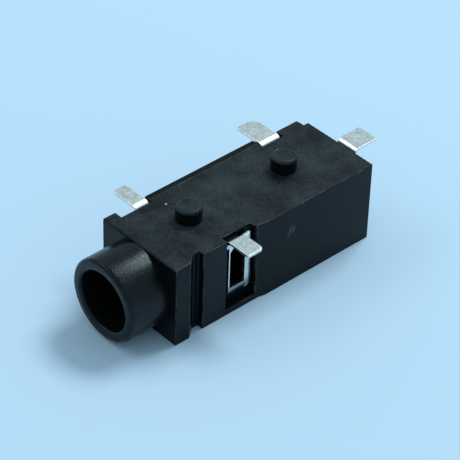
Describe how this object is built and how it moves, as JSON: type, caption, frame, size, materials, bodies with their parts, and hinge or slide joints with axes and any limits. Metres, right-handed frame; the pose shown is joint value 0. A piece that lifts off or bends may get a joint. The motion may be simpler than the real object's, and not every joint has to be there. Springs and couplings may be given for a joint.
{
  "type": "audio jack socket",
  "caption": "Surface-mount audio jack socket: black moulded housing with a round nose, locating pegs and a pressed-on side cover, and tinned contact springs with flat leads.",
  "frame": {"origin": "on the plug axis, at the flange's front face", "axes": "+X along the plug axis towards the rear, +Z towards the circuit board that the socket is soldered to, +Y towards the side that the cover closes"},
  "size_m": [0.0191, 0.009, 0.0061],
  "materials": {
    "plastic": "semi-matte moulding with a fine spark texture on the board face",
    "contact_strip": "bright tin plate on copper-alloy strip"
  },
  "bodies": {
    "root": {"housing": "plastic", "side_cover": "plastic", "sleeve_contact": "contact_strip", "ring_contact": "contact_strip", "tip_contact": "contact_strip", "switch_contact": "contact_strip"}
  },
  "joints": []
}
